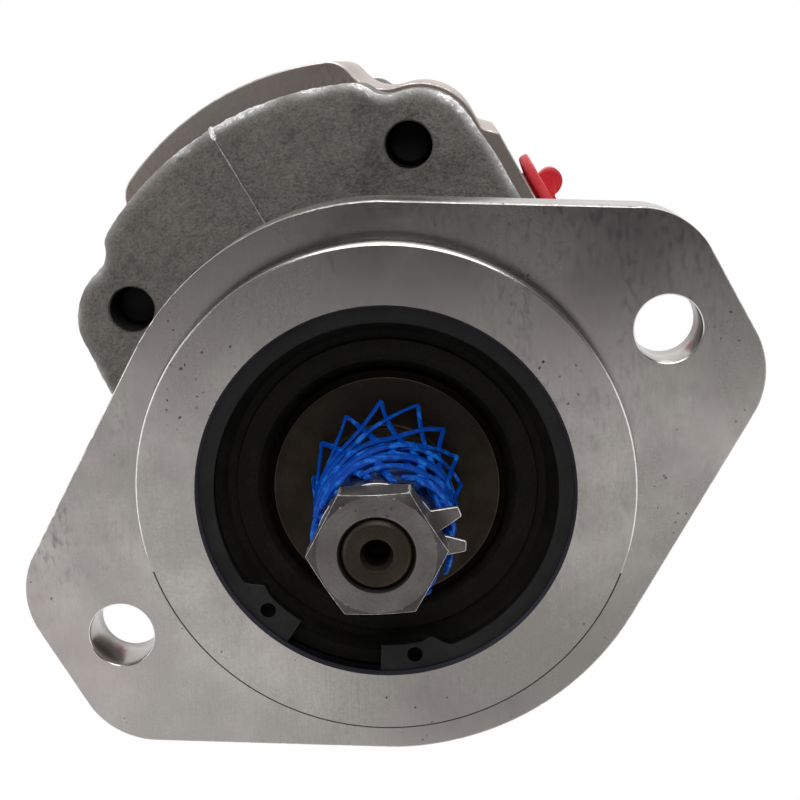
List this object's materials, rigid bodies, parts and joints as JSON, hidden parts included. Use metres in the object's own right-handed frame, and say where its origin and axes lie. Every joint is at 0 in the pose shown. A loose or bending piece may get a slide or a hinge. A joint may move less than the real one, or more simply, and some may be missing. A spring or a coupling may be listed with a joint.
{
  "type": "hydraulic gear pump",
  "caption": "External gear pump with an aluminium housing, two-bolt flange, tapered drive shaft, outboard bearing and plugged side ports.",
  "frame": {"origin": "on the drive shaft's axis, in the plane of the flange's mounting face", "axes": "+Y along the shaft from the flange into the pump, -Y out of the pilot, +Z from the drive gear to the driven gear, X along the flange's bolt line"},
  "size_m": [0.1306, 0.1836, 0.1185],
  "materials": {
    "cast_aluminium": "as cast, machined where it mates",
    "machined_aluminium": "machined",
    "steel": "ground",
    "dark_steel": "turned, dull",
    "black_steel": "blackened spring steel",
    "plated_steel": "zinc plated",
    "black_rubber": "smooth",
    "backup_plastic": "natural",
    "bronze": "plain bearing",
    "blue_plastic": "extruded net",
    "red_plastic": "moulded"
  },
  "bodies": {
    "housing": {"front_housing": "cast_aluminium", "gear_body": "machined_aluminium", "rear_cover": "cast_aluminium", "shaft_seal": "black_rubber", "internal_circlip": "black_steel", "bearing_outer_ring": "steel", "inner_seal": "black_rubber", "front_bearing_block": "machined_aluminium", "rear_bearing_block": "machined_aluminium", "front_bushes": "bronze", "rear_bushes": "bronze", "front_block_seal": "black_rubber", "rear_block_seal": "black_rubber", "front_block_backup": "backup_plastic", "rear_block_backup": "backup_plastic", "front_body_seal": "black_rubber", "rear_body_seal": "black_rubber", "dowel_pins": "steel", "body_bolts": "plated_steel", "bolt_washers": "plated_steel"},
    "shaft": {"drive_shaft": "dark_steel", "woodruff_key": "steel", "mesh_sleeve": "blue_plastic", "tab_washer": "plated_steel", "hex_nut": "plated_steel", "bearing_inner_ring": "steel", "shaft_circlip": "black_steel", "shaft_coupling": "dark_steel", "drive_gear": "steel"},
    "driven": {"driven_gear": "steel"},
    "cage": {"bearing_cage": "dark_steel", "bearing_balls": "steel"},
    "plug_right": {"port_plug_right": "red_plastic"},
    "plug_left": {"port_plug_left": "red_plastic"}
  },
  "joints": [
    {"name": "shaft_spin", "type": "hinge", "parent": "housing", "child": "shaft", "pos_m": [0, 0, 0], "axis": [0, 1, 0], "continuous": true},
    {"name": "driven_gear_spin", "type": "hinge", "parent": "housing", "child": "driven", "pos_m": [0, 0.088, 0.033], "axis": [0, 1, 0], "continuous": true},
    {"name": "bearing_cage_spin", "type": "hinge", "parent": "housing", "child": "cage", "pos_m": [0, 0.0112, 0], "axis": [0, 1, 0], "continuous": true},
    {"name": "plug_right_pull", "type": "slide", "parent": "housing", "child": "plug_right", "axis": [1, 0, 0], "range_m": [0, 0.012]},
    {"name": "plug_left_pull", "type": "slide", "parent": "housing", "child": "plug_left", "axis": [-1, 0, 0], "range_m": [0, 0.012]}
  ],
  "couplings": [
    {"joint": "driven_gear_spin", "follows": "shaft_spin", "ratio": -1},
    {"joint": "bearing_cage_spin", "follows": "shaft_spin", "ratio": 0.419}
  ]
}
